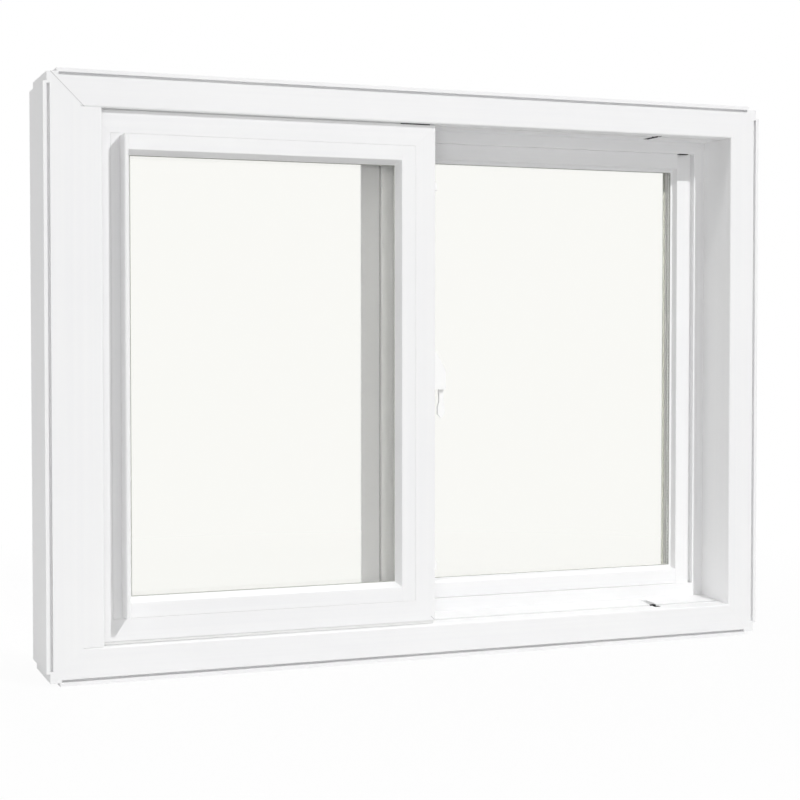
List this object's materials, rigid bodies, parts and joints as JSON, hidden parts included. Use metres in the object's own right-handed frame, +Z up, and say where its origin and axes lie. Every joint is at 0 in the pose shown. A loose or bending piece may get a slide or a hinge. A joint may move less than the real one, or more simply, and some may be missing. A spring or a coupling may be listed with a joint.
{
  "type": "horizontal sliding window",
  "caption": "White vinyl horizontal sliding window with a fixed lite, a sash that slides in front of it on glides, an upright pull lip and a small swinging latch lever.",
  "frame": {"origin": "bottom of the window, in the middle of its overall box", "axes": "+X along the width, to the right as seen from the room; +Y from the room to the outside; +Z up"},
  "size_m": [0.8, 0.0956, 0.597],
  "materials": {
    "frame_vinyl": "satin extruded vinyl",
    "bead_vinyl": "satin extruded vinyl",
    "latch_plastic": "moulded, satin",
    "glass": "clear float glass",
    "spacer": "lacquered pale grey",
    "nylon": "moulded nylon",
    "pile_seal": "woven pile"
  },
  "bodies": {
    "frame": {"frame_head": "frame_vinyl", "frame_sill": "frame_vinyl", "frame_left_jamb": "frame_vinyl", "frame_right_jamb": "frame_vinyl", "left_jamb_cover": "frame_vinyl", "fixed_meeting_stile": "frame_vinyl", "meeting_seal": "pile_seal", "fixed_bead_top": "bead_vinyl", "fixed_bead_bottom": "bead_vinyl", "fixed_bead_left": "bead_vinyl", "fixed_bead_right": "bead_vinyl", "fixed_inner_pane": "glass", "fixed_outer_pane": "glass", "fixed_spacer_top": "spacer", "fixed_spacer_bottom": "spacer", "fixed_spacer_left": "spacer", "fixed_spacer_right": "spacer"},
    "sash": {"sash_top_rail": "frame_vinyl", "sash_bottom_rail": "frame_vinyl", "sash_pull_stile": "frame_vinyl", "sash_meeting_stile": "frame_vinyl", "sash_pull_bead": "bead_vinyl", "sash_bead_meeting": "bead_vinyl", "sash_bead_top": "bead_vinyl", "sash_bead_bottom": "bead_vinyl", "sash_inner_pane": "glass", "sash_outer_pane": "glass", "sash_spacer_top": "spacer", "sash_spacer_bottom": "spacer", "sash_spacer_left": "spacer", "sash_spacer_right": "spacer", "sash_glide_left": "nylon", "sash_glide_right": "nylon", "sash_guide_left": "nylon", "sash_guide_right": "nylon", "latch_base": "latch_plastic", "stile_bumper_lower": "latch_plastic", "stile_bumper_upper": "latch_plastic"},
    "lever": {"latch_lever": "latch_plastic"}
  },
  "joints": [
    {"name": "sash_slide", "type": "slide", "parent": "frame", "child": "sash", "axis": [1, 0, 0], "range_m": [0, 0.315]},
    {"name": "latch_swing", "type": "hinge", "parent": "sash", "child": "lever", "pos_m": [0.0201, -0.0148, 0.29], "axis": [0, -1, 0], "range_deg": [0, 35]}
  ]
}
